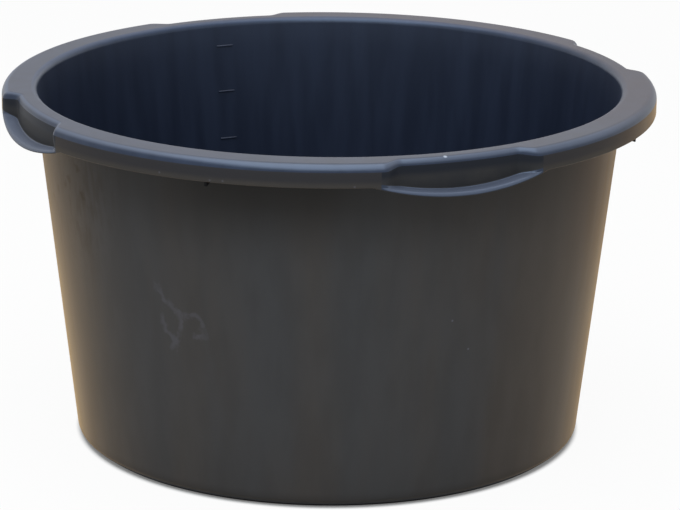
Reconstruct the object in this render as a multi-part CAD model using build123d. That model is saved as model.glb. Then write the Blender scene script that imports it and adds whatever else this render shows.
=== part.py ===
"""Round cement tub of the 65 litre size: one polyethylene moulding with four hand grips in its rim.

The moulding is drawn zone by zone, and each zone is a solid of its own: the floor, the low foot ring
under it, the tapered wall, the turned-over rim between the grips, the grips, the webs under the rim,
the litre marks inside and the stub where the plastic entered the mould.
The origin is the centre of the circle that the tub stands on, +Z is up, and the grips lie on the
X and Y axes. All sizes are in millimetres and all named angles in degrees.
"""

import os
from math import asin, atan, cos, degrees, hypot, pi, radians, sin, sqrt, tan

from build123d import *

# Overall form
RIM_DIAMETER = 605.0
HEIGHT = 333.0
RIM_WIDTH = 29.0  # outside the wall, measured in the plane of the rim
WALL_BASE_DIAMETER = 472.0  # outer face, carried down to the ground
WALL_THICKNESS = 3.0  # of the floor too
BEND_FLATS = 2  # short flats in each quarter turn of a bend, which keep the faces few

# Floor, and the low ring below it that the tub stands on
FOOT_HEIGHT = 2.0
FOOT_WIDTH = 12.0
FLOOR_COVE = 4.0  # inside radius of the bend between the floor and the wall
GATE_DIAMETER = 12.0
GATE_HEIGHT = 1.2

# Rim: a flat top that turns down into a skirt
RIM_THICKNESS = 3.5
SKIRT_HEIGHT = 20.5
RIM_CHAMFER = 4.5  # outer edge of the flat top
MOUTH_RADIUS = 7.5  # inner edge, where the wall bends into the flat top
UNDER_BEND = 4.0  # the same bend, between the wall and the underside of the rim

# Grips: the skirt steps in, and a crescent lip stands out below the recess
GRIP_NAMES = ("right", "back", "left", "front")  # anticlockwise from +X
GRIP_WIDTH = 142.0  # across the mouth of the recess, before its corners are blended
GRIP_DEPTH = 12.5
GRIP_STEP = 11.0  # how much narrower the recess is at its back, at each end
GRIP_OUTER_BLEND = 10.0
GRIP_INNER_BLEND = 7.0
GRIP_MARGIN = 18.0  # plain rim that belongs to the grip beyond each end of its mouth
LIP_REACH = 12.0  # how far each tip of the crescent runs past the mouth of the recess
LIP_DROP = 12.2  # lowest point of the lip, under the bottom of the skirt
LIP_THICKNESS = 4.0
LIP_SLOPE = 2.0  # fall towards the edge
LIP_ROOT_RADIUS = 1.6  # cove between the lip and the recess

# Webs under the rim
WEB_ANGLE = 43.6  # either side of the front and the back grip
WEB_THICKNESS = 2.7
WEB_DROP = 5.0  # how far the outer end hangs below the skirt
WEB_ROOT_HEIGHT = 17.0  # on the wall, below the flat top

# Rim sections between the grips
RIM_NAMES = ("back_right", "back_left", "front_left", "front_right")  # anticlockwise from +X

# Litre marks inside, in line with the back grip, as many as fit under the rim
MARK_FIRST = 10.0  # litres
MARK_STEP = 10.0  # litres
MARK_WIDTH = 17.0
MARK_HEIGHT = 1.6
MARK_RELIEF = 0.8

# Worked-out sizes
LITRE = 1e6  # cubic millimetres
RIM_RADIUS = RIM_DIAMETER / 2
WALL_TOP_DIAMETER = RIM_DIAMETER - 2 * RIM_WIDTH  # outer face, carried up to the plane of the rim
RECESS_RADIUS = RIM_RADIUS - GRIP_DEPTH
SKIRT_INSIDE = RIM_RADIUS - RIM_THICKNESS
SKIRT_BOTTOM = HEIGHT - SKIRT_HEIGHT
RIM_UNDERSIDE = HEIGHT - RIM_THICKNESS
FLOOR_TOP = FOOT_HEIGHT + WALL_THICKNESS
WALL_TOP = HEIGHT - max(MOUTH_RADIUS, RIM_THICKNESS + UNDER_BEND)  # where its bends begin
TAPER = (WALL_TOP_DIAMETER - WALL_BASE_DIAMETER) / 2 / HEIGHT  # radius gained for each mm of height
LEAN = atan(TAPER)  # radians
WALL_RADIAL = WALL_THICKNESS / cos(LEAN)
GRIP_PITCH = 360 / len(GRIP_NAMES)
GRIP_ANGLE = {name: i * GRIP_PITCH for i, name in enumerate(GRIP_NAMES)}
GRIP_SECTOR = degrees(asin((GRIP_WIDTH / 2 + GRIP_MARGIN) / RIM_RADIUS))  # half of it
REACH = RIM_DIAMETER + HEIGHT  # longer than any cut needs


def outer_radius(z):
    """Radius of the wall's outer face at a height."""
    return WALL_BASE_DIAMETER / 2 + TAPER * z


def inner_radius(z):
    """Radius of the wall's inner face at a height."""
    return outer_radius(z) - WALL_RADIAL


def height_of(litres):
    """Height that this much fills the tub to, between its flat floor and its tapered wall."""
    start = inner_radius(FLOOR_TOP)
    level = (start**3 + 3 * TAPER * litres * LITRE / pi) ** (1 / 3)
    return FLOOR_TOP + (level - start) / TAPER


def flats(arc, quarters=1):
    """Points along an arc of so many quarter turns, the ends of its short flats."""
    count = BEND_FLATS * quarters
    return [arc @ (i / count) for i in range(count + 1)]


def profile(*points):
    """A closed line through points given as radius and height."""
    return Polyline([(radius, 0, z) for radius, z in points], close=True)


def turned(outline):
    """The solid that a closed profile sweeps about the tub's axis."""
    return revolve(make_face(outline), Axis.Z)


def polar(radius, angle):
    """A point in plan, at an angle from +X."""
    return (radius * cos(radians(angle)), radius * sin(radians(angle)))


def prism(face, bottom, top):
    """A plan face raised between two heights."""
    return extrude(Pos(0, 0, bottom) * face, top - bottom)


def wedge(start, end):
    """A tall sector of the plan between two angles, for cutting the rim into sections."""
    middle = polar(REACH, (start + end) / 2)
    face = make_face(Polyline((0, 0), polar(REACH, start), middle, polar(REACH, end), close=True))
    return prism(face, 0, REACH)


def floor_edge():
    """Radius where the flat floor ends and its bend into the wall begins."""
    return inner_radius(FLOOR_TOP + FLOOR_COVE) - FLOOR_COVE / cos(LEAN)


def base_bend(radius):
    """Points from the floor to the wall, about the centre that both faces of the bend share."""
    centre = Vector(floor_edge(), 0, FLOOR_TOP + FLOOR_COVE)
    on_floor = centre - Vector(0, 0, radius)
    on_wall = centre + Vector(cos(LEAN), 0, -sin(LEAN)) * radius
    return flats(TangentArc(on_floor, on_wall, tangent=(1, 0, 0)))


def make_floor():
    """A flat disc, raised off the ground."""
    return prism(Circle(floor_edge()), FOOT_HEIGHT, FLOOR_TOP)


def make_foot_ring():
    """A low flat ring under the rim of the floor."""
    return prism(Circle(floor_edge()) - Circle(floor_edge() - FOOT_WIDTH), 0, FOOT_HEIGHT)


def make_gate_mark():
    """The stub of plastic left at the middle of the underside."""
    stub = Cylinder(GATE_DIAMETER / 2, GATE_HEIGHT, align=(Align.CENTER, Align.CENTER, Align.MAX))
    return Pos(0, 0, FOOT_HEIGHT) * stub


def make_wall():
    """The tapered wall, from its bend at the floor up to its bend into the rim."""
    outline = Polyline(
        *base_bend(FLOOR_COVE),
        (inner_radius(WALL_TOP), 0, WALL_TOP),
        (outer_radius(WALL_TOP), 0, WALL_TOP),
        *reversed(base_bend(FLOOR_COVE + WALL_THICKNESS)),
        close=True,
    )
    return turned(outline)


def wall_core():
    """All that lies inside the wall's outer face, up to its bend under the flat of the rim."""
    return turned(
        profile(
            (0, 0),
            (outer_radius(0), 0),
            (outer_radius(WALL_TOP), WALL_TOP),
            (outer_radius(RIM_UNDERSIDE) + UNDER_BEND, RIM_UNDERSIDE),
            (0, RIM_UNDERSIDE),
        )
    )


def mouth_space():
    """The space inside the rim, with the rounded edge where the wall bends into the flat top."""
    centre_z = HEIGHT - MOUTH_RADIUS
    centre = inner_radius(centre_z) + MOUTH_RADIUS / cos(LEAN)
    on_wall = (centre - MOUTH_RADIUS * cos(LEAN), 0, centre_z + MOUTH_RADIUS * sin(LEAN))
    on_top = (centre, 0, HEIGHT)
    outline = Polyline(
        *flats(TangentArc(on_wall, on_top, tangent=(sin(LEAN), 0, cos(LEAN)))),
        (0, 0, HEIGHT),
        (0, 0, WALL_TOP),
        (inner_radius(WALL_TOP), 0, WALL_TOP),
        close=True,
    )
    return turned(outline)


def rim_outline():
    """The rim in plan: a disc with a notch at each grip, blended at its four corners."""
    back_y = GRIP_WIDTH / 2 - GRIP_STEP
    back = (sqrt(RECESS_RADIUS**2 - back_y**2), back_y)
    mouth = (sqrt(RIM_RADIUS**2 - (GRIP_WIDTH / 2) ** 2), GRIP_WIDTH / 2)
    clear = RIM_RADIUS + GRIP_DEPTH  # the sloping end is carried out to here, past the rim
    past = (clear, back_y + GRIP_STEP * (clear - back[0]) / (mouth[0] - back[0]))
    ends = Polyline(back, past, (past[0], -past[1]), (back[0], -back[1]))
    floor = ThreePointArc((back[0], -back[1]), (RECESS_RADIUS, 0), back)
    notch = make_face([ends, floor])
    notch = fillet(notch.vertices().sort_by(Axis.X)[:2], GRIP_INNER_BLEND)
    outline = Circle(RIM_RADIUS) - [Rot(0, 0, i * GRIP_PITCH) * notch for i in range(len(GRIP_NAMES))]
    on_rim = [v for v in outline.vertices() if hypot(v.X, v.Y) > RIM_RADIUS - GRIP_DEPTH / 100]
    return fillet(on_rim, GRIP_OUTER_BLEND)


def make_rim_shell(outline, hollow):
    """Flat top, skirt and the bend into the wall, all the way round and still without lips."""
    block = prism(outline, SKIRT_BOTTOM, HEIGHT)
    block = chamfer(block.edges().group_by(Axis.Z)[-1], RIM_CHAMFER)
    neck = wall_core() - prism(Circle(REACH), 0, WALL_TOP)
    return block - prism(hollow, SKIRT_BOTTOM, RIM_UNDERSIDE) + neck - mouth_space()


def lip_path():
    """The circle that the middle of the lip's edge follows: its lowest point, axis and half angle."""
    half = LIP_THICKNESS / 2
    radius = RIM_RADIUS - half
    tip_y = GRIP_WIDTH / 2 + LIP_REACH
    lowest = Vector(radius, 0, SKIRT_BOTTOM - LIP_DROP + half)
    tip_rise = Vector(sqrt(radius**2 - tip_y**2), 0, SKIRT_BOTTOM + half) - lowest
    circle = (tip_y**2 + tip_rise.length**2) / (2 * tip_rise.length)
    centre = lowest + tip_rise.normalized() * circle
    axis = Axis(centre, Vector(0, 1, 0).cross(tip_rise))
    return lowest, axis, degrees(asin(tip_y / circle))


def swept(face, axis, half_angle):
    """A face turned to both sides about the axis of the lip."""
    return revolve(face.rotate(axis, -half_angle), axis, 2 * half_angle)


def make_lip(outline, hollow):
    """The crescent lip of the grip on +X, and the wall of the recess that comes down to it."""
    lowest, axis, half_angle = lip_path()
    slope = radians(LIP_SLOPE)
    inward = Vector(-cos(slope), 0, sin(slope))
    across = Vector(sin(slope), 0, cos(slope)) * (LIP_THICKNESS / 2)
    edge = lowest - inward * (LIP_THICKNESS / 2)
    upper, lower = lowest + across, lowest - across

    root = upper + inward * ((upper.X - RECESS_RADIUS) / cos(slope))
    run = LIP_ROOT_RADIUS / tan(pi / 4 + slope / 2)
    on_lip, on_wall = root - inward * run, root + Vector(0, 0, run)
    behind = lower + inward * ((lower.X - RECESS_RADIUS + RIM_THICKNESS) / cos(slope))
    section = Polyline(
        *flats(ThreePointArc(upper, edge, lower), quarters=2),
        behind,
        Vector(behind.X, 0, on_wall.Z),
        *flats(TangentArc(on_wall, on_lip, tangent=(0, 0, -1))),
        close=True,
    )
    lip = swept(make_face(section), axis, half_angle) - prism(hollow, 0, HEIGHT)

    far = inward * (2 * (GRIP_DEPTH + RIM_THICKNESS))
    deep = Vector(0, 0, -2 * LIP_DROP)
    corners = (lower + far, lower - far, lower - far + deep, lower + far + deep)
    below = make_face(Polyline(*corners, close=True))
    recess_wall = prism(outline - hollow, SKIRT_BOTTOM - LIP_DROP, SKIRT_BOTTOM)
    recess_wall &= wedge(-GRIP_SECTOR, GRIP_SECTOR)
    return lip + (recess_wall - swept(below, axis, 2 * half_angle))


def make_web(angle, shell):
    """A radial plate between the wall and the skirt, whose outer corner hangs below the skirt."""
    root_z = RIM_UNDERSIDE - WEB_ROOT_HEIGHT
    side = profile(
        (outer_radius(0), RIM_UNDERSIDE),
        (SKIRT_INSIDE, RIM_UNDERSIDE),
        (SKIRT_INSIDE, SKIRT_BOTTOM - WEB_DROP),
        (outer_radius(root_z), root_z),
        (outer_radius(0), root_z),
    )
    plate = extrude(make_face(side), WEB_THICKNESS / 2, both=True)
    plate = (plate & prism(Circle(SKIRT_INSIDE), 0, HEIGHT)) - wall_core()
    return Rot(0, 0, angle) * plate - shell


def mark_litres():
    """What the marks stand for, from the lowest to the last that clears the bend into the rim."""
    litres = MARK_FIRST
    while height_of(litres) + MARK_HEIGHT < WALL_TOP:
        yield litres
        litres += MARK_STEP


def make_litre_mark(litres, wall):
    """A raised bar on the inner wall, at the level that the litres reach, trimmed by the wall."""
    low = height_of(litres) - MARK_HEIGHT / 2
    high = low + MARK_HEIGHT
    root = WALL_RADIAL / 2
    bar = profile(
        (inner_radius(low) + root, low),
        (inner_radius(high) + root, high),
        (inner_radius(high) - MARK_RELIEF, high),
        (inner_radius(low) - MARK_RELIEF, low),
    )
    angle = degrees(MARK_WIDTH / inner_radius(low))
    return Rot(0, 0, GRIP_ANGLE["back"] - angle / 2) * revolve(make_face(bar), Axis.Z, angle) - wall


def make_parts():
    """Every node's name with its solid, or its group of separate solids."""
    outline = rim_outline()
    hollow = offset(outline, -RIM_THICKNESS)
    shell = make_rim_shell(outline, hollow)
    grip = (shell & wedge(-GRIP_SECTOR, GRIP_SECTOR)) + make_lip(outline, hollow)
    section = shell & wedge(GRIP_SECTOR, GRIP_PITCH - GRIP_SECTOR)
    web_angles = [GRIP_ANGLE[name] + side for name in ("back", "front") for side in (WEB_ANGLE, -WEB_ANGLE)]
    wall = make_wall()
    parts = {
        "floor": make_floor(),
        "foot_ring": make_foot_ring(),
        "gate_mark": make_gate_mark(),
        "wall": wall,
        "rim_webs": Compound([make_web(angle, shell).solid() for angle in web_angles]),
        "litre_marks": Compound([make_litre_mark(litres, wall).solid() for litres in mark_litres()]),
    }
    for name, angle in GRIP_ANGLE.items():
        parts["grip_" + name] = Rot(0, 0, angle) * grip
    for i, name in enumerate(RIM_NAMES):
        parts["rim_" + name] = Rot(0, 0, i * GRIP_PITCH) * section
    return parts


os.makedirs("parts", exist_ok=True)
for node, shape in make_parts().items():
    export_step(shape, f"parts/{node}.step")
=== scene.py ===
import math
from types import SimpleNamespace

import bpy
from mathutils import Matrix, Vector
from mathutils.kdtree import KDTree


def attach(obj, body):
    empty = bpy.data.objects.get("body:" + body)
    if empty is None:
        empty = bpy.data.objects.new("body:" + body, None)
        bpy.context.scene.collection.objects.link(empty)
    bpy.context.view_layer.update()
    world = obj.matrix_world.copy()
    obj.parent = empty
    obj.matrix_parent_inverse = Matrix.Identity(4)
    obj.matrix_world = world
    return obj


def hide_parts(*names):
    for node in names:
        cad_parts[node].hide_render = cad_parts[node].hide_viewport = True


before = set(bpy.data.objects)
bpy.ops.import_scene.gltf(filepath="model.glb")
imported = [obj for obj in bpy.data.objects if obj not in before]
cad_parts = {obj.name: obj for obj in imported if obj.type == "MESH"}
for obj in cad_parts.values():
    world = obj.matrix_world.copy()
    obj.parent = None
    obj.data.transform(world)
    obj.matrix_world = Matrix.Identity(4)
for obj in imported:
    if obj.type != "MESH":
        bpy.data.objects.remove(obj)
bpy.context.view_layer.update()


# The tub is one injection moulding of black polyethylene: a flat floor on a low foot ring, a tapered
# wall, and a rim that turns over into a skirt. At each of the four grips the skirt steps in, and a
# crescent lip stands out below the recess. The section is drawn and spun, then the grips are pressed in.
UP = Vector((0, 0, 1))
TUB_HEIGHT = 0.333
WALL_BASE_RADIUS = 0.236
WALL_TOP_RADIUS = 0.2735
WALL_TAPER = (WALL_TOP_RADIUS - WALL_BASE_RADIUS) / TUB_HEIGHT
WALL_LEAN = math.atan(WALL_TAPER)
WALL_LEAN_DEG = math.degrees(WALL_LEAN)
WALL_THICKNESS = 0.003
WALL_RADIAL = WALL_THICKNESS / math.cos(WALL_LEAN)
FOOT_HEIGHT = 0.002
FOOT_WIDTH = 0.012
FOOT_EDGE = 0.0006
FLOOR_TOP = FOOT_HEIGHT + WALL_THICKNESS
FLOOR_COVE = 0.004

RIM_RADIUS = 0.3025
RIM_THICKNESS = 0.0035
RIM_ROUND = 0.0082
RIM_FALL = math.tan(math.radians(0.5))
MOUTH_ROUND = 0.0065
UNDER_BEND = 0.0045
SKIRT_BEND = 0.002
SKIRT_EDGE = 0.0008
SKIRT_BOTTOM = 0.3125
SKIRT_SPARE = 0.0035

GRIP_DEPTH = 0.0125
GRIP_ROUND = 0.0065
GRIP_FLOOR_ANGLE = 10.6
GRIP_END_ANGLE = 14.2
GRIP_SPREAD = 0.4
LIP_DROP = 0.0122
LIP_END_ANGLE = 16.0
LIP_SWEEP = 2.0
LIP_THICKNESS = 0.004
LIP_TIP = 0.0012
LIP_UNDER = 0.0008
LIP_SLOPE = math.tan(math.radians(2))
LIP_ROOT = 0.0016

# Columns of faces round the tub, and at which degrees from a grip's middle their spacing changes
COLUMNS = 720
COLUMN_MARKS = ((0, 0.0), (16, 10.2), (54, 16.6), (90, 45.0))

# Rings of the floor, then the steps of each stretch of the section, in its order
FLOOR_RADII = (0.0, 0.11, 0.20)
COVE_STEPS = 6
INNER_WALL_STEPS = 8
MOUTH_STEPS = 8
RIM_STEPS = 8
FACE_STEPS = 4
ROOT_STEPS = 5
SHELF_STEPS = 3
LIP_STEPS = 4
LIP_UNDER_STEPS = 3
BOTTOM_STEPS = 3
SKIRT_EDGE_STEPS = 2
SKIRT_BACK_STEPS = 3
SKIRT_BEND_STEPS = 4
UNDER_BEND_STEPS = 5
OUTER_WALL_STEPS = 10
BASE_STEPS = 8
FOOT_EDGE_STEPS = 3

BASE_ROUND_END = -80
SEED_SIZE = 0.01
MERGE_DISTANCE = 1e-5
FLAT_FACE_WEIGHT = 60


def wall_outside(z):
    """Radius of the wall's outer face at a height."""
    return WALL_BASE_RADIUS + WALL_TAPER * z


def wall_inside(z):
    """Radius of the wall's inner face at a height."""
    return wall_outside(z) - WALL_RADIAL


def arc(centre, radius, start, end, steps):
    """Points on a round of the section, with angles in degrees from the outward direction."""
    turns = [math.radians(start + (end - start) * i / steps) for i in range(steps + 1)]
    return [(centre[0] + radius * math.cos(t), centre[1] + radius * math.sin(t)) for t in turns]


def on_wall(face, low, high, steps):
    """Points up a straight face of the wall, without its ends."""
    heights = [low + (high - low) * i / steps for i in range(1, steps)]
    return [(face(z), z) for z in heights]


BASE_Z = FLOOR_TOP + FLOOR_COVE
BASE_CENTRE = (wall_inside(BASE_Z) - FLOOR_COVE / math.cos(WALL_LEAN), BASE_Z)
MOUTH_Z = TUB_HEIGHT - MOUTH_ROUND
MOUTH_CENTRE = (wall_inside(MOUTH_Z) + MOUTH_ROUND / math.cos(WALL_LEAN), MOUTH_Z)


def tub_inside():
    """The section from the middle of the floor to the flat top of the rim."""
    floor = [(radius, FLOOR_TOP) for radius in FLOOR_RADII]
    cove = arc(BASE_CENTRE, FLOOR_COVE, -90, -WALL_LEAN_DEG, COVE_STEPS)
    mouth = arc(MOUTH_CENTRE, MOUTH_ROUND, 180 - WALL_LEAN_DEG, 90, MOUTH_STEPS)
    return floor + cove + on_wall(wall_inside, cove[-1][1], mouth[0][1], INNER_WALL_STEPS) + mouth


def tub_outside():
    """The section from the underside of the rim, down the wall, to the middle of the underside."""
    bend_z = TUB_HEIGHT - RIM_THICKNESS - UNDER_BEND
    bend_radius = wall_outside(bend_z) + UNDER_BEND / math.cos(WALL_LEAN)
    bend = arc((bend_radius, bend_z), UNDER_BEND, 90, 180 - WALL_LEAN_DEG, UNDER_BEND_STEPS)
    base = arc(BASE_CENTRE, FLOOR_COVE + WALL_THICKNESS, -WALL_LEAN_DEG, BASE_ROUND_END, BASE_STEPS)
    outer, inner = BASE_CENTRE[0], BASE_CENTRE[0] - FOOT_WIDTH
    foot = [(outer, base[-1][1])]
    foot += arc((outer - FOOT_EDGE, FOOT_EDGE), FOOT_EDGE, 0, -90, FOOT_EDGE_STEPS)
    foot += arc((inner + FOOT_EDGE, FOOT_EDGE), FOOT_EDGE, -90, -180, FOOT_EDGE_STEPS)
    foot += arc((inner - FOOT_EDGE, FOOT_HEIGHT - FOOT_EDGE), FOOT_EDGE, 0, 90, FOOT_EDGE_STEPS)
    floor = [(FLOOR_RADII[1], FOOT_HEIGHT), (FLOOR_RADII[0], FOOT_HEIGHT)]
    return bend + on_wall(wall_outside, bend[-1][1], base[0][1], OUTER_WALL_STEPS) + base + foot + floor


def from_grip(turn):
    """Degrees between a turn from +X and the middle of the nearest grip."""
    return math.degrees(abs((turn + math.pi / 4) % (math.pi / 2) - math.pi / 4))


def rim_radius(turn, down):
    """Radius of the rim's face, which eases in at the ends of a grip, later at the lip than at the top."""
    end_angle = GRIP_END_ANGLE + GRIP_SPREAD * down
    ease = min(max((from_grip(turn) - GRIP_FLOOR_ANGLE) / (end_angle - GRIP_FLOOR_ANGLE), 0), 1)
    return RIM_RADIUS - GRIP_DEPTH * (1 + math.cos(math.pi * ease)) / 2


def tub_column(turn):
    """The whole section at one turn from +X, as points in space."""
    out = Vector((math.cos(turn), math.sin(turn), 0))
    along = Vector((-out.y, out.x, 0))

    def ring(r, z):
        return out * r + UP * z

    def edge(offset, z, down):
        radius = rim_radius(turn, down)
        small = 1e-4
        slope = (rim_radius(turn + small, down) - rim_radius(turn - small, down)) / (2 * small)
        return out * radius + (out * radius - along * slope).normalized() * offset + UP * z

    top = rim_radius(turn, 0)
    low = rim_radius(turn, 1)
    top_recess, low_recess = (RIM_RADIUS - top) / GRIP_DEPTH, (RIM_RADIUS - low) / GRIP_DEPTH
    sag = max(0, 1 - (from_grip(turn) / LIP_END_ANGLE) ** LIP_SWEEP)
    lip = SKIRT_BOTTOM - LIP_DROP * sag
    thick = LIP_TIP + (LIP_THICKNESS - LIP_TIP) * math.sqrt(sag)
    lip_round = thick - LIP_UNDER
    bend = RIM_ROUND + (GRIP_ROUND - RIM_ROUND) * top_recess
    flat_end = top - bend
    flat_z = TUB_HEIGHT - RIM_FALL * (flat_end - MOUTH_CENTRE[0])
    face_top = flat_z - bend
    cove = LIP_ROOT * low_recess
    shelf_rise = max(0, RIM_RADIUS - lip_round - low) * LIP_SLOPE * low_recess
    root = lip + thick + shelf_rise
    spare = SKIRT_SPARE * (1 - low_recess)
    spare_steps = ROOT_STEPS + SHELF_STEPS
    face_low = root + cove + spare

    points = [ring(*p) for p in tub_inside()]
    points.append(points[-1].lerp(ring(flat_end, flat_z), 0.5))
    points += [ring(*p) for p in arc((flat_end, face_top), bend, 90, 0, RIM_STEPS)]
    for i in range(1, FACE_STEPS):
        points.append(edge(0, face_top + (face_low - face_top) * i / FACE_STEPS, i / FACE_STEPS))
    for i, (offset, z) in enumerate(arc((cove, root + cove), cove, 180, 270, ROOT_STEPS)):
        points.append(edge(offset, z + spare * (1 - i / spare_steps), 1))
    tip = min(RIM_RADIUS, max(RIM_RADIUS - lip_round, low + cove))
    shelf = ring(tip, lip + thick)
    for i in range(1, SHELF_STEPS + 1):
        lift = UP * spare * (1 - (ROOT_STEPS + i) / spare_steps)
        points.append(edge(cove, root, 1).lerp(shelf, i / SHELF_STEPS) + lift)
    for across, rise in arc((0, 0), 1, 90, 0, LIP_STEPS)[1:]:
        points.append(ring(tip + (RIM_RADIUS - tip) * across, lip + LIP_UNDER + lip_round * rise))
    under = arc((RIM_RADIUS - LIP_UNDER, lip + LIP_UNDER), LIP_UNDER, 0, -90, LIP_UNDER_STEPS)
    points += [ring(*p) for p in under[1:]]
    back_centre = (SKIRT_EDGE - RIM_THICKNESS, lip + shelf_rise + SKIRT_EDGE)
    back = arc(back_centre, SKIRT_EDGE, -90, -180, SKIRT_EDGE_STEPS)
    points += [points[-1].lerp(edge(*back[0], 1), i / BOTTOM_STEPS) for i in range(1, BOTTOM_STEPS)]
    points += [edge(*p, 1) for p in back]
    inside_top = TUB_HEIGHT - RIM_THICKNESS - SKIRT_BEND
    inside_low = back[-1][1]
    for i in range(1, SKIRT_BACK_STEPS):
        rise = i / SKIRT_BACK_STEPS
        points.append(edge(-RIM_THICKNESS, inside_low + (inside_top - inside_low) * rise, 1 - rise))
    bend_centre = (-RIM_THICKNESS - SKIRT_BEND, inside_top)
    points += [edge(*p, 0) for p in arc(bend_centre, SKIRT_BEND, 0, 90, SKIRT_BEND_STEPS)]
    return points + [ring(*p) for p in tub_outside()]


def column_turn(step):
    """Turn of a column from +X: the columns stand closer together over the ends of a grip."""
    quarter, place = divmod(step, COLUMNS // 4)
    near = min(place, COLUMNS // 4 - place)
    for (start, low), (end, high) in zip(COLUMN_MARKS, COLUMN_MARKS[1:]):
        if near <= end:
            away = low + (high - low) * (near - start) / (end - start)
            break
    return math.radians(90 * quarter + (away if near == place else 90 - away))


bpy.ops.object.select_all(action="DESELECT")
columns = [tub_column(column_turn(step)) for step in range(COLUMNS)]
section = columns[0]
bpy.ops.mesh.primitive_plane_add(size=SEED_SIZE, location=(0, 0, 0))
tub = bpy.context.object
tub.name = tub.data.name = "tub_moulding"
bpy.ops.object.mode_set(mode="EDIT")
bpy.ops.mesh.merge(type="CENTER")
bpy.ops.transform.translate(value=section[0])
for start, end in zip(section, section[1:]):
    bpy.ops.mesh.extrude_vertices_move(TRANSFORM_OT_translate={"value": end - start})
bpy.ops.mesh.select_all(action="SELECT")
bpy.ops.mesh.spin(steps=COLUMNS, angle=2 * math.pi, center=(0, 0, 0), axis=(0, 0, 1))
bpy.ops.mesh.select_all(action="SELECT")
bpy.ops.mesh.remove_doubles(threshold=MERGE_DISTANCE)
bpy.ops.mesh.normals_make_consistent(inside=False)
bpy.ops.object.mode_set(mode="OBJECT")

# Each spun point goes to its own column's section, which presses the grips in
section_tree = KDTree(len(section))
for i, point in enumerate(section):
    section_tree.insert((point.x, 0, point.z), i)
section_tree.balance()
ring_of = []
for vertex in tub.data.vertices:
    x, y, z = vertex.co
    ring_of.append(section_tree.find((math.hypot(x, y), 0, z))[1])
    step = round(math.atan2(y, x) / (2 * math.pi) * COLUMNS) % COLUMNS
    vertex.co = columns[step][ring_of[-1]]

# Faces by finish, in the order of the tub's materials: the base's bend stays dusty for its first steps, and
# the rest of it takes the shaded finish, whose darker black is a painted contact shadow
RIM_FINISH, WALL_FINISH, SHADED_FINISH, SKIRT_FINISH = range(4)
DUSTY_BASE_STEPS = 3
first_outside = len(section) - len(tub_outside())
base_bend = first_outside + UNDER_BEND_STEPS + OUTER_WALL_STEPS + DUSTY_BASE_STEPS
skirt_top = len(tub_inside()) + RIM_STEPS
root_top = skirt_top + 1 + FACE_STEPS
shelf_top = root_top + ROOT_STEPS // 2
lip_low = root_top + ROOT_STEPS + SHELF_STEPS + LIP_STEPS
lip_end = lip_low + LIP_UNDER_STEPS
for face in tub.data.polygons:
    first_ring = min(ring_of[i] for i in face.vertices)
    turn = math.atan2(face.center.y, face.center.x)
    beside_grip = from_grip(turn) > GRIP_END_ANGLE + GRIP_SPREAD
    if skirt_top <= first_ring < lip_end and beside_grip:
        face.material_index = SKIRT_FINISH
    elif first_outside <= first_ring < base_bend:
        face.material_index = WALL_FINISH
    # The recesses and the lips' undersides take the shaded finish too; its darker black is painted shade.
    elif skirt_top <= first_ring < shelf_top or lip_low <= first_ring < lip_end or first_ring >= base_bend:
        face.material_index = SHADED_FINISH
    else:
        face.material_index = RIM_FINISH
bpy.ops.object.shade_smooth()
bpy.ops.object.modifier_add(type="WEIGHTED_NORMAL")
tub.modifiers[-1].weight = FLAT_FACE_WEIGHT
bpy.ops.object.modifier_apply(modifier=tub.modifiers[-1].name)


# Every finish: a fade is written as start and end, then the low and high that it goes between
GRAIN_SCALE = 900
GRAIN_DETAIL = 2
GRAIN_DEPTH = 0.00004
SPOT_CORE = 0.3
SCRATCH_CORE = 0.2


def add(tree, kind, inputs=None, **settings):
    """A shader node with its settings, whose inputs are values or other nodes' outputs."""
    made = tree.nodes.new(kind)
    for name, value in settings.items():
        setattr(made, name, value)
    for key, value in (inputs or {}).items():
        if isinstance(value, bpy.types.NodeSocket):
            tree.links.new(value, made.inputs[key])
        else:
            made.inputs[key].default_value = value
    return made


def math_of(tree, operation, *values):
    """The result of a sum on values or outputs."""
    return add(tree, "ShaderNodeMath", dict(enumerate(values)), operation=operation).outputs[0]


def vector_of(tree, operation, *values):
    """The result of a vector sum on places, as a vector."""
    return add(tree, "ShaderNodeVectorMath", dict(enumerate(values)), operation=operation).outputs["Vector"]


def measure_of(tree, operation, *values):
    """The result of a vector sum on places, as a number."""
    return add(tree, "ShaderNodeVectorMath", dict(enumerate(values)), operation=operation).outputs["Value"]


def new_finish(name, constants):
    """A material with an empty node tree, and its principled shader with what is the same all over."""
    finish = bpy.data.materials.new(name)
    finish.use_nodes = True
    tree = finish.node_tree
    tree.nodes.clear()
    shader = add(tree, "ShaderNodeBsdfPrincipled", constants)
    add(tree, "ShaderNodeOutputMaterial", {0: shader.outputs[0]})
    return finish, tree, shader


def noise(tree, place, scale, detail=3):
    """Even noise between 0 and 1, of so many lumps in a metre."""
    inputs = {"Vector": place, "Scale": scale, "Detail": detail}
    return add(tree, "ShaderNodeTexNoise", inputs).outputs["Fac"]


def fade(tree, value, start, end, low=0.0, high=1.0):
    """A smooth change from low to high while a value goes from start to end."""
    inputs = {"Value": value, "From Min": start, "From Max": end, "To Min": low, "To Max": high}
    return add(tree, "ShaderNodeMapRange", inputs, interpolation_type="SMOOTHSTEP").outputs[0]


def times(tree, *values):
    """The product of values or outputs."""
    product = values[0]
    for value in values[1:]:
        product = math_of(tree, "MULTIPLY", product, value)
    return product


def blend(tree, share, under, over):
    """One colour laid over another by a share."""
    inputs = {"Factor": share, "A": under, "B": over}
    return add(tree, "ShaderNodeMix", inputs, data_type="RGBA").outputs["Result"]


def spots(tree, place, centres, size):
    """Small round marks, 1 in the middle of each."""
    share = 0.0
    for centre in centres:
        away = measure_of(tree, "DISTANCE", place, centre)
        share = math_of(tree, "MAXIMUM", share, fade(tree, away, size, size * SPOT_CORE))
    return share


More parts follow.
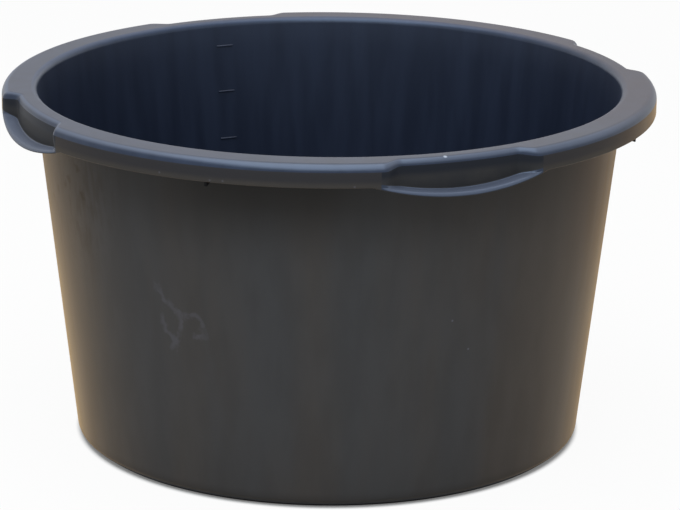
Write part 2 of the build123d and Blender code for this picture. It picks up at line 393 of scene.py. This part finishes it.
def scratches(tree, place, paths, width):
    """Thin marks along paths from point to point, 1 in the middle of each."""
    share = 0.0
    for start, end in [run for path in paths for run in zip(path, path[1:])]:
        along = Vector(end) - Vector(start)
        offset = vector_of(tree, "SUBTRACT", place, start)
        reach = measure_of(tree, "DOT_PRODUCT", offset, along / along.length_squared)
        reach = add(tree, "ShaderNodeClamp", {0: reach}).outputs[0]
        nearest = add(tree, "ShaderNodeVectorMath", {0: along, "Scale": reach}, operation="SCALE").outputs[0]
        away = measure_of(tree, "DISTANCE", offset, nearest)
        share = math_of(tree, "MAXIMUM", share, fade(tree, away, width, width * SCRATCH_CORE))
    return share


def where(tree):
    """Where a point lies on the tub, and how far its face looks up and outward."""
    place = add(tree, "ShaderNodeTexCoord").outputs["Object"]
    normal = add(tree, "ShaderNodeNewGeometry").outputs["Normal"]
    side, front, height = add(tree, "ShaderNodeSeparateXYZ", {0: place}).outputs
    level = vector_of(tree, "MULTIPLY", place, (1, 1, 0))
    return SimpleNamespace(
        place=place,
        side=side,
        front=front,
        height=height,
        radius=measure_of(tree, "LENGTH", level),
        facing_up=add(tree, "ShaderNodeSeparateXYZ", {0: normal}).outputs[2],
        outward=measure_of(tree, "DOT_PRODUCT", level, normal),
    )


def complete(tree, shader, place, color, roughness):
    """Gives a shader its colour and roughness, and the fine grain of the mould."""
    lumps = noise(tree, place, GRAIN_SCALE, GRAIN_DETAIL)
    grain = add(tree, "ShaderNodeBump", {"Strength": 1, "Distance": GRAIN_DEPTH, "Height": lumps})
    tree.links.new(color, shader.inputs["Base Color"])
    tree.links.new(roughness, shader.inputs["Roughness"])
    tree.links.new(grain.outputs[0], shader.inputs["Normal"])


def tub_point(radius, turn, z):
    """A point at a radius and a height, at a turn in degrees from +X."""
    return (radius * math.cos(math.radians(turn)), radius * math.sin(math.radians(turn)), z)


def wall_points(*marks):
    """Points on the wall's outer face, at turns in degrees from +X and at heights."""
    return [tub_point(wall_outside(z), turn, z) for turn, z in marks]


# Rim, grips and inside: streaked black with dust where it looks up, and painted light: a blue tint, a blue
# highlight on the outer edge and the mouth, pale sky light on the shelves
# The blue in BLACK and STREAKED_BLACK is painted blue sky light on a black plastic.
BLACK = (0.0125, 0.0175, 0.0345, 1)
STREAKED_BLACK = (0.0195, 0.0269, 0.0505, 1)
PALE_DUST = (0.165, 0.154, 0.164, 1)
SANDY_DUST = (0.200, 0.150, 0.128, 1)
# A pale blue that stands in for the sky's light and reflection on the rim: painted light.
PAINTED_SKY_LIGHT = (0.110, 0.130, 0.182, 1)
MOUTH_HIGHLIGHT_BLUE = (0.085, 0.140, 0.280, 1)
CHALK = (0.62, 0.66, 0.74, 1)
SKY_SHEEN = (0.62, 0.76, 1, 1)

STREAK_DRAW = (1, 1, 0.07)
STREAK_SCALE = 60
STREAK_DETAIL = 4
STREAK_FADE = (0.3, 0.7)
DUST_SCALE = 14
DUST_DETAIL = 5
DUST_PATCHES = (0.25, 0.75, 0.75, 1)
DUST_MOST = 0.36
DUST_BY_FACING = (0.55, 1, 0, DUST_MOST)
DUST_BY_FRONT = (-0.28, -0.16, 0.4, 1)
DUST_TINT_BY_SIDE = (-0.22, 0.2)
DUST_ROUGHNESS = (0, DUST_MOST, 0.36, 0.52)

EDGE_HIGHLIGHT_FROM = (-0.275, -0.19, 0.28, 0.5)
EDGE_HIGHLIGHT_FULL = (-0.275, -0.19, 0.68, 0.88)
EDGE_HIGHLIGHT_BELOW_FLAT = (0.995, 0.9)
EDGE_HIGHLIGHT_OUTWARD = (0.02, 0.08)
EDGE_HIGHLIGHT_HEIGHT = (0.322, 0.3245)
EDGE_HIGHLIGHT_BY_SIDE = (0.13, 0.25, 0.66, 0.1)
SHELF_LIGHT_FACING = (0.0, 0.35)
SHELF_LIGHT_HEIGHT = (0.318, 0.312)
SHELF_LIGHT_RADIUS = (0.283, 0.287)
SHELF_LIGHT_BY_SIDE = (-0.26, -0.15, 0.45, 0.65)
INNER_HIGHLIGHT_HEIGHT = (0.300, 0.331)
INNER_HIGHLIGHT_OUTWARD = (-0.02, -0.1)
INNER_HIGHLIGHT_SHARE = 0.08
MOUTH_HIGHLIGHT_HEIGHT = (0.3285, 0.332)
MOUTH_HIGHLIGHT_OUTWARD = (-0.01, -0.06)
MOUTH_HIGHLIGHT_BY_FRONT = (0.0, 0.2, 0.02, 0.17)

RIM_SPECKS = (tub_point(0.2861, 267.2, TUB_HEIGHT),)
RIM_SPECK_RADIUS = 0.0024
RIM_SPECK_SHARE = 0.7

plastic, tree, shader = new_finish("black_polyethylene", {"Specular Tint": SKY_SHEEN})
at = where(tree)
drawn_out = vector_of(tree, "MULTIPLY", at.place, STREAK_DRAW)
streaks = fade(tree, noise(tree, drawn_out, STREAK_SCALE, STREAK_DETAIL), *STREAK_FADE)
patches = fade(tree, noise(tree, at.place, DUST_SCALE, DUST_DETAIL), *DUST_PATCHES)
settled = times(
    tree, fade(tree, at.facing_up, *DUST_BY_FACING), patches, fade(tree, at.front, *DUST_BY_FRONT)
)
dust = blend(tree, fade(tree, at.side, *DUST_TINT_BY_SIDE), PALE_DUST, SANDY_DUST)
# Painted highlight: pale blue on the rim's outer rounding, strongest at the front and fading towards +X, in
# place of the sky's reflection.
highlight_from = fade(tree, at.front, *EDGE_HIGHLIGHT_FROM)
highlight_full = fade(tree, at.front, *EDGE_HIGHLIGHT_FULL)
edge_highlight = times(
    tree,
    fade(tree, at.facing_up, highlight_from, highlight_full),
    fade(tree, at.facing_up, *EDGE_HIGHLIGHT_BELOW_FLAT),
    fade(tree, at.outward, *EDGE_HIGHLIGHT_OUTWARD),
    fade(tree, at.height, *EDGE_HIGHLIGHT_HEIGHT),
    fade(tree, at.side, *EDGE_HIGHLIGHT_BY_SIDE),
)
# Painted sky light: the lips' up-facing shelves are painted pale blue, as if lit by the sky.
shelf_sky_light = times(
    tree,
    fade(tree, at.facing_up, *SHELF_LIGHT_FACING),
    fade(tree, at.height, *SHELF_LIGHT_HEIGHT),
    fade(tree, at.radius, *SHELF_LIGHT_RADIUS),
    fade(tree, at.side, *SHELF_LIGHT_BY_SIDE),
)
# Painted highlight: a faint pale blue on the inward faces at the top of the inner wall and the mouth.
inner_highlight = times(
    tree,
    fade(tree, at.height, *INNER_HIGHLIGHT_HEIGHT),
    fade(tree, at.outward, *INNER_HIGHLIGHT_OUTWARD),
    INNER_HIGHLIGHT_SHARE,
)
# Painted highlight: bright blue on the mouth's bend at the back, in place of the sky's reflection there.
mouth_highlight = times(
    tree,
    fade(tree, at.height, *MOUTH_HIGHLIGHT_HEIGHT),
    fade(tree, at.outward, *MOUTH_HIGHLIGHT_OUTWARD),
    fade(tree, at.front, *MOUTH_HIGHLIGHT_BY_FRONT),
)
specks = times(tree, spots(tree, at.place, RIM_SPECKS, RIM_SPECK_RADIUS), RIM_SPECK_SHARE)
color = blend(tree, settled, blend(tree, streaks, BLACK, STREAKED_BLACK), dust)
for painted_light in (edge_highlight, shelf_sky_light, inner_highlight):
    color = blend(tree, painted_light, color, PAINTED_SKY_LIGHT)
color = blend(tree, mouth_highlight, color, MOUTH_HIGHLIGHT_BLUE)
color = blend(tree, specks, color, CHALK)
complete(tree, shader, at.place, color, fade(tree, settled, *DUST_ROUGHNESS))
tub.data.materials.append(plastic)

# Wall: dry dirt with scuffs, specks, splashes and drips, and painted shade: dark under the rim, and a painted
# contact shadow at the base
WALL_GREY = (0.067, 0.067, 0.070, 1)
WALL_BROWN = (0.077, 0.069, 0.064, 1)
WALL_DARK = (0.030, 0.028, 0.026, 1)
WARM_DUST = (1, 0.61, 0.24, 1)
PALE_SCUFF = (0.20, 0.20, 0.25, 1)
SIDE_BROWN = (0.040, 0.022, 0.016, 1)
SPLASH_BROWN = (0.030, 0.023, 0.018, 1)
WALL_SHINE = {
    "Specular IOR Level": 0.05, "Sheen Weight": 0.86, "Sheen Roughness": 0.32, "Sheen Tint": WARM_DUST,
}
WALL_ROUGHNESS = (0, 1, 0.42, 0.38)

MOTTLE_SCALE = 11
MOTTLE_DETAIL = 4
MOTTLE_FADE = (0.35, 0.65)
RUN_DRAW = (1, 1, 0.3)
BLOTCH_SCALE = 48
BLOTCH_DETAIL = 5
BLOTCH_FADE = (0.35, 0.68, 0, 0.15)
DEEPEST_RIM_SHADE_SIDE = -0.15
RIM_SHADE_BY_SIDE = (0.03, 0.09, 0.08, 0.5)
RIM_SHADE_HEIGHT = (0.315, 0.22)
BASE_SHADOW_HEIGHT = (0.002, 0.016, 0.4, 1)
DRIP_SCALE = 150
DRIP_DETAIL = 5
DRIP_FADE = (0.42, 0.66)
DRIP_BY_SIDE = (-0.238, -0.262)
DRIP_HEIGHT = (0.17, 0.22)
DRIP_SHARE = 0.38
BROWNING_BY_SIDE = (0.12, 0.19)
BROWNING_HEIGHT = (0.14, 0.24)
BROWNING_SHARE = 0.75

WANDER_SCALE = 110
WANDER_DETAIL = 3
WANDER_REACH = 0.012
SCUFFS = (
    wall_points(
        (211.15, 0.198), (213.1, 0.1865), (216.15, 0.175), (216.8, 0.1675), (216.2, 0.1585), (214.5, 0.1405)
    ),
    wall_points((211.95, 0.1685), (212.6, 0.1595), (214.8, 0.1485)),
    wall_points((216.9, 0.1725), (219.7, 0.1755)),
    wall_points((219.8, 0.1765), (221.2, 0.171), (221.5, 0.163), (222.2, 0.158), (219.7, 0.157)),
)
SCUFF_WIDTH = 0.0042
SCUFF_BREAK_SCALE = 160
SCUFF_BREAKS = (0.3, 0.55, 0.3, 1)
SCUFF_SHARE = 0.17
WALL_SPECKS = wall_points((272.2, 0.174), (276.35, 0.1445))
WALL_SPECK_RADIUS = 0.0014
WALL_SPECK_SHARE = 0.5
SPLASHES = wall_points(
    (186.1, 0.2725), (179.9, 0.255), (175.15, 0.243), (191.25, 0.2635), (184.2, 0.265), (190.2, 0.2865)
)
SPLASH_RADIUS = 0.0055
SPLASH_SHARE = 0.75

wall_plastic, tree, shader = new_finish("dusty_wall", WALL_SHINE)
at = where(tree)
drawn_out = vector_of(tree, "MULTIPLY", at.place, STREAK_DRAW)
streaks = fade(tree, noise(tree, drawn_out, STREAK_SCALE, STREAK_DETAIL), *STREAK_FADE)
mottle = fade(tree, noise(tree, drawn_out, MOTTLE_SCALE, MOTTLE_DETAIL), *MOTTLE_FADE)
run_down = vector_of(tree, "MULTIPLY", at.place, RUN_DRAW)
blotches = fade(tree, noise(tree, run_down, BLOTCH_SCALE, BLOTCH_DETAIL), *BLOTCH_FADE)
dry_dirt = blend(tree, blotches, blend(tree, mottle, WALL_GREY, WALL_BROWN), WALL_DARK)
# Painted shade: below the rim the wall turns to WALL_DARK, more deeply near one side, and a painted contact
# shadow darkens it at the base.
from_deepest_rim_shade = math_of(tree, "ABSOLUTE", math_of(tree, "SUBTRACT", at.side, DEEPEST_RIM_SHADE_SIDE))
under_rim_shade_level = fade(tree, from_deepest_rim_shade, *RIM_SHADE_BY_SIDE)
out_of_painted_shade = times(tree, fade(tree, at.height, *RIM_SHADE_HEIGHT, under_rim_shade_level, 1), fade(tree, at.height, *BASE_SHADOW_HEIGHT))
drips = times(
    tree,
    fade(tree, noise(tree, run_down, DRIP_SCALE, DRIP_DETAIL), *DRIP_FADE),
    fade(tree, at.side, *DRIP_BY_SIDE),
    fade(tree, at.height, *DRIP_HEIGHT),
    DRIP_SHARE,
)
# Darker and browner towards +X, high on the wall.
side_browning = times(tree, fade(tree, at.side, *BROWNING_BY_SIDE), fade(tree, at.height, *BROWNING_HEIGHT), BROWNING_SHARE)
wander = {"Vector": at.place, "Scale": WANDER_SCALE, "Detail": WANDER_DETAIL}
wander = add(tree, "ShaderNodeTexNoise", wander).outputs["Color"]
wander = vector_of(tree, "SUBTRACT", wander, (0.5, 0.5, 0.5))
bent_place = vector_of(tree, "MULTIPLY_ADD", wander, [WANDER_REACH] * 3, at.place)
scuffs = times(
    tree,
    scratches(tree, bent_place, SCUFFS, SCUFF_WIDTH),
    fade(tree, noise(tree, at.place, SCUFF_BREAK_SCALE), *SCUFF_BREAKS),
    SCUFF_SHARE,
)
specks = times(tree, spots(tree, at.place, WALL_SPECKS, WALL_SPECK_RADIUS), WALL_SPECK_SHARE)
splashes = times(tree, spots(tree, bent_place, SPLASHES, SPLASH_RADIUS), SPLASH_SHARE)
color = blend(tree, out_of_painted_shade, WALL_DARK, dry_dirt)
color = blend(tree, drips, color, SPLASH_BROWN)
color = blend(tree, side_browning, color, SIDE_BROWN)
for mark in (scuffs, specks):
    color = blend(tree, mark, color, PALE_SCUFF)
color = blend(tree, splashes, color, SPLASH_BROWN)
complete(tree, shader, at.place, color, fade(tree, streaks, *WALL_ROUGHNESS))
tub.data.materials.append(wall_plastic)

# Recesses, the lips' lower edges and the turn of the base: a darker, dull black as painted shade, darkest at
# the tops of the recesses as painted shade under the rim's edge, with some dust lower down
SHADED_BLACK = (0.018, 0.021, 0.029, 1)
SHADED_DUST = (0.047, 0.046, 0.047, 1)
SHADED_SHINE = {"Specular IOR Level": 0.1}
SHADED_SCALE = 40
SHADED_DETAIL = 4
SHADED_PATCHES = (0.3, 0.7, 0.6, 1)
SHADE_UNDER_RIM_HEIGHT = (0.3235, 0.3165)
SHADED_ROUGHNESS = (0, 1, 0.45, 0.6)

shaded_plastic, tree, shader = new_finish("shaded_plastic", SHADED_SHINE)
at = where(tree)
patches = fade(tree, noise(tree, at.place, SHADED_SCALE, SHADED_DETAIL), *SHADED_PATCHES)
# Painted shade: the dust fades out towards the top of each recess, so the tops stay darkest.
dust_below_shade = times(tree, patches, fade(tree, at.height, *SHADE_UNDER_RIM_HEIGHT))
color = blend(tree, dust_below_shade, SHADED_BLACK, SHADED_DUST)
complete(tree, shader, at.place, color, fade(tree, dust_below_shade, *SHADED_ROUGHNESS))
tub.data.materials.append(shaded_plastic)

# Skirt: black that greys towards its lower edge, browner towards +X, with a few pale nicks
SKIRT_BLACK = (0.041, 0.040, 0.044, 1)
SKIRT_GREY = (0.066, 0.059, 0.053, 1)
SKIRT_SHINE = {
    "Specular IOR Level": 0.05, "Sheen Weight": 0.55, "Sheen Roughness": 0.32, "Sheen Tint": WARM_DUST,
}
SKIRT_SCALE = 30
SKIRT_DETAIL = 4
SKIRT_LEAST = 0.7
SKIRT_PATCHES = (0.3, 0.7, SKIRT_LEAST, 1)
SKIRT_GREY_HEIGHT = (0.3195, 0.3140)
SKIRT_BROWNING_BY_SIDE = (0.15, 0.22, 0, 0.6)
SKIRT_ROUGHNESS = (SKIRT_LEAST, 1, 0.38, 0.44)
SKIRT_NICKS = [
    tub_point(RIM_RADIUS, turn, z)
    for turn, z in ((218.4, 0.316), (227.45, 0.3145), (229.65, 0.315), (251.1, 0.314))
]
SKIRT_NICK_RADIUS = 0.0013
SKIRT_NICK_SHARE = 0.25

skirt_plastic, tree, shader = new_finish("skirt_plastic", SKIRT_SHINE)
at = where(tree)
patches = fade(tree, noise(tree, at.place, SKIRT_SCALE, SKIRT_DETAIL), *SKIRT_PATCHES)
greyed = times(tree, fade(tree, at.height, *SKIRT_GREY_HEIGHT), patches)
nicks = times(tree, spots(tree, at.place, SKIRT_NICKS, SKIRT_NICK_RADIUS), SKIRT_NICK_SHARE)
color = blend(tree, greyed, SKIRT_BLACK, SKIRT_GREY)
# Browner towards +X.
color = blend(tree, fade(tree, at.side, *SKIRT_BROWNING_BY_SIDE), color, SIDE_BROWN)
color = blend(tree, nicks, color, PALE_SCUFF)
complete(tree, shader, at.place, color, fade(tree, patches, *SKIRT_ROUGHNESS))
tub.data.materials.append(skirt_plastic)

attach(tub, "root")
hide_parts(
    "floor", "foot_ring", "wall",
    "grip_right", "grip_back", "grip_left", "grip_front",
    "rim_back_right", "rim_back_left", "rim_front_left", "rim_front_right",
)


# The litre marks are short bars, raised on the inner wall in line with the back grip, one for each ten
# litres. They are cut into the mould's core, so they are of the same plastic, with soft edges.
MARK_LITRES = (10, 20, 30, 40, 50, 60)
MARK_TURN = math.radians(90)
MARK_WIDTH = 0.017
MARK_HEIGHT = 0.0016
MARK_RELIEF = 0.0008
MARK_ROOT = 0.001
MARK_SOFTNESS = 0.0006
LITRE = 0.001
SOFT_STEPS = 3


def filled_to(litres):
    """Height that this much fills the tub to."""
    start = wall_inside(FLOOR_TOP)
    level = (start**3 + 3 * WALL_TAPER * litres * LITRE / math.pi) ** (1 / 3)
    return FLOOR_TOP + (level - start) / WALL_TAPER


def joined(copies, name):
    """Like pieces made one smooth object, under a name."""
    bpy.ops.object.select_all(action="DESELECT")
    for each in copies:
        each.select_set(True)
    bpy.context.view_layer.objects.active = copies[0]
    bpy.ops.object.join()
    whole = bpy.context.object
    whole.name = whole.data.name = name
    bpy.ops.object.shade_smooth()
    return whole


bars = []
for litres in MARK_LITRES:
    mark_z = filled_to(litres)
    bpy.ops.object.select_all(action="DESELECT")
    bpy.ops.mesh.primitive_cube_add(size=1, location=(0, 0, 0))
    bar = bpy.context.object
    bpy.ops.object.mode_set(mode="EDIT")
    bpy.ops.transform.resize(value=(MARK_WIDTH, MARK_RELIEF + MARK_ROOT, MARK_HEIGHT))
    bpy.ops.mesh.bevel(offset=MARK_SOFTNESS, segments=SOFT_STEPS, affect="EDGES")
    bpy.ops.transform.translate(value=(0, (MARK_ROOT - MARK_RELIEF) / 2, 0))
    bpy.ops.object.mode_set(mode="OBJECT")
    for vertex in bar.data.vertices:
        x, y, z = vertex.co
        radius = wall_inside(mark_z + z) + y
        turn = MARK_TURN - x / wall_inside(mark_z)
        vertex.co = (radius * math.cos(turn), radius * math.sin(turn), mark_z + z)
    bars.append(bar)
litre_bars = joined(bars, "litre_bars")
litre_bars.data.materials.append(plastic)
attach(litre_bars, "root")
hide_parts("litre_marks")


# Four radial webs stiffen the rim from below, about halfway between the grips. They are moulded with
# the wall and the skirt, and the outer corner of each hangs a little below the skirt.
WEB_ANGLE = 43.6
WEB_TURNS = [grip + side * WEB_ANGLE for grip in (90, 270) for side in (-1, 1)]
WEB_THICKNESS = 0.0027
WEB_SINK = 0.001
WEB_TOP = TUB_HEIGHT - RIM_THICKNESS + WEB_SINK
WEB_OUTER_BOTTOM = 0.3075
WEB_ROOT_Z = 0.3125
WEB_SKIRT_RADIUS = RIM_RADIUS - RIM_THICKNESS
WEB_CORNERS = {
    (True, True): (WEB_SKIRT_RADIUS - WEB_SINK, WEB_TOP),
    (True, False): (WEB_SKIRT_RADIUS, WEB_OUTER_BOTTOM),
    (False, True): (wall_outside(WEB_TOP) - WEB_SINK, WEB_TOP),
    (False, False): (wall_outside(WEB_ROOT_Z) - WEB_SINK, WEB_ROOT_Z),
}
WEB_SOFTNESS = 0.0005

# The webs' near-black is painted shade: they sit in shadow under the rim.
WEB_SHADE_BLACK = (0.006, 0.006, 0.007, 1)
WEB_GRIME = (0.016, 0.015, 0.014, 1)
WEB_SHINE = {"Specular IOR Level": 0.1}
WEB_SCALE = 60
WEB_DETAIL = 4
WEB_PATCHES = (0.35, 0.75)
WEB_ROUGHNESS = (0, 1, 0.5, 0.65)

web_plastic, tree, shader = new_finish("web_plastic", WEB_SHINE)
at = where(tree)
patches = fade(tree, noise(tree, at.place, WEB_SCALE, WEB_DETAIL), *WEB_PATCHES)
color = blend(tree, patches, WEB_SHADE_BLACK, WEB_GRIME)
complete(tree, shader, at.place, color, fade(tree, patches, *WEB_ROUGHNESS))

plates = []
for web_turn in WEB_TURNS:
    bpy.ops.object.select_all(action="DESELECT")
    bpy.ops.mesh.primitive_cube_add(size=1, location=(0, 0, 0))
    plate = bpy.context.object
    for vertex in plate.data.vertices:
        x, y, z = vertex.co
        radius, height = WEB_CORNERS[x > 0, z > 0]
        vertex.co = (radius, y * WEB_THICKNESS, height)
    bpy.ops.object.mode_set(mode="EDIT")
    bpy.ops.mesh.select_all(action="SELECT")
    bpy.ops.mesh.bevel(offset=WEB_SOFTNESS, segments=SOFT_STEPS, affect="EDGES")
    bpy.ops.object.mode_set(mode="OBJECT")
    plate.data.transform(Matrix.Rotation(math.radians(web_turn), 4, "Z"))
    plates.append(plate)
rim_plates = joined(plates, "web_plates")
rim_plates.data.materials.append(web_plastic)
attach(rim_plates, "root")
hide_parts("rim_webs")


# The plastic enters the mould at the middle of the underside, and a short round stub stays there
# where it was cut off.
GATE_RADIUS = 0.006
GATE_HEIGHT = 0.0012
GATE_SIDES = 64
GATE_SOFTNESS = 0.0004

bpy.ops.object.select_all(action="DESELECT")
bpy.ops.mesh.primitive_cylinder_add(
    vertices=GATE_SIDES, radius=GATE_RADIUS, depth=GATE_HEIGHT, location=(0, 0, FOOT_HEIGHT - GATE_HEIGHT / 2)
)
gate = bpy.context.object
gate.name = gate.data.name = "gate_stub"
bpy.ops.object.transform_apply(location=True, rotation=True, scale=True)
bpy.ops.object.mode_set(mode="EDIT")
bpy.ops.mesh.select_all(action="SELECT")
bpy.ops.mesh.bevel(offset=GATE_SOFTNESS, segments=SOFT_STEPS, affect="EDGES")
bpy.ops.object.mode_set(mode="OBJECT")
bpy.ops.object.shade_smooth()
gate.data.materials.append(plastic)
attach(gate, "root")
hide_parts("gate_mark")


# Floor, light and camera: a pale studio floor that darkens where the tub stands, a large soft lamp
# overhead, and a long lens that looks a little down into the tub.
FLOOR_SIZE = 40
FLOOR_GREY = (0.80, 0.79, 0.77, 1)
FLOOR_WHITE_FROM = (0.233, 0.240, 0.15, 0.95)
WHITE = (1, 1, 1, 1)
AMBIENT_STRENGTH = 0.28

bpy.ops.object.select_all(action="DESELECT")
bpy.ops.mesh.primitive_plane_add(size=FLOOR_SIZE, location=(0, 0, 0))
floor = bpy.context.object
floor.name = "studio_floor"


def seen_directly(tree):
    """A factor of 1 for camera, glossy and transmission rays, which see the white background."""
    path = add(tree, "ShaderNodeLightPath").outputs
    seen = math_of(tree, "MAXIMUM", path["Is Camera Ray"], path["Is Glossy Ray"])
    return math_of(tree, "MAXIMUM", seen, path["Is Transmission Ray"])


floor_finish = bpy.data.materials.new("pale_floor")
floor_finish.use_nodes = True
tree = floor_finish.node_tree
tree.nodes.clear()
matte = add(tree, "ShaderNodeBsdfDiffuse", {"Color": FLOOR_GREY})
white = add(tree, "ShaderNodeEmission", {"Color": WHITE, "Strength": 1})
share = times(tree, seen_directly(tree), fade(tree, where(tree).radius, *FLOOR_WHITE_FROM))
mix = add(tree, "ShaderNodeMixShader", {0: share, 1: matte.outputs[0], 2: white.outputs[0]})
add(tree, "ShaderNodeOutputMaterial", {0: mix.outputs[0]})
floor.data.materials.append(floor_finish)

world = bpy.data.worlds.new("studio")
bpy.context.scene.world = world
world.use_nodes = True
tree = world.node_tree
tree.nodes.clear()
ambient = add(tree, "ShaderNodeBackground", {"Color": WHITE, "Strength": AMBIENT_STRENGTH})
white = add(tree, "ShaderNodeBackground", {"Color": WHITE, "Strength": 1})
mix = add(tree, "ShaderNodeMixShader", {0: seen_directly(tree), 1: ambient.outputs[0], 2: white.outputs[0]})
add(tree, "ShaderNodeOutputWorld", {0: mix.outputs[0]})

CAMERA_TURN = math.radians(-23.05)
CAMERA_REACH = 3.0649
CAMERA_HEIGHT = 1.0744
CAMERA_PAN = math.radians(-0.207)
CAMERA_TILT = math.radians(90 - 16.532)
CAMERA_ROLL = math.radians(0.467)
CAMERA_LENS = 179.9
CAMERA_SENSOR = 36

LAMP_WIDTH = 2.2
LAMP_LENGTH = 4.6
LAMP_POWER = 104
LAMP_COLOR = (0.86, 0.94, 1)
LAMP_PLACE = Vector((-0.3, -1.2, 2.9))

strip = bpy.data.lights.new("overhead", "AREA")
strip.shape = "RECTANGLE"
strip.size = LAMP_WIDTH
strip.size_y = LAMP_LENGTH
strip.energy = LAMP_POWER
strip.color = LAMP_COLOR
overhead = bpy.data.objects.new("overhead", strip)
bpy.context.scene.collection.objects.link(overhead)
overhead.location = Matrix.Rotation(CAMERA_TURN, 3, "Z") @ LAMP_PLACE
overhead.rotation_euler = (0, 0, CAMERA_TURN)
overhead.visible_camera = False

lens = bpy.data.cameras.new("lens")
lens.lens = CAMERA_LENS
lens.sensor_width = CAMERA_SENSOR
camera = bpy.data.objects.new("camera", lens)
bpy.context.scene.collection.objects.link(camera)
camera.location = Matrix.Rotation(CAMERA_TURN, 3, "Z") @ Vector((0, -CAMERA_REACH, CAMERA_HEIGHT))
aim = Matrix.Rotation(CAMERA_TURN + CAMERA_PAN, 4, "Z") @ Matrix.Rotation(CAMERA_TILT, 4, "X")
camera.rotation_euler = (aim @ Matrix.Rotation(CAMERA_ROLL, 4, "Z")).to_euler()
bpy.context.scene.camera = camera
bpy.context.scene.view_settings.view_transform = "Standard"
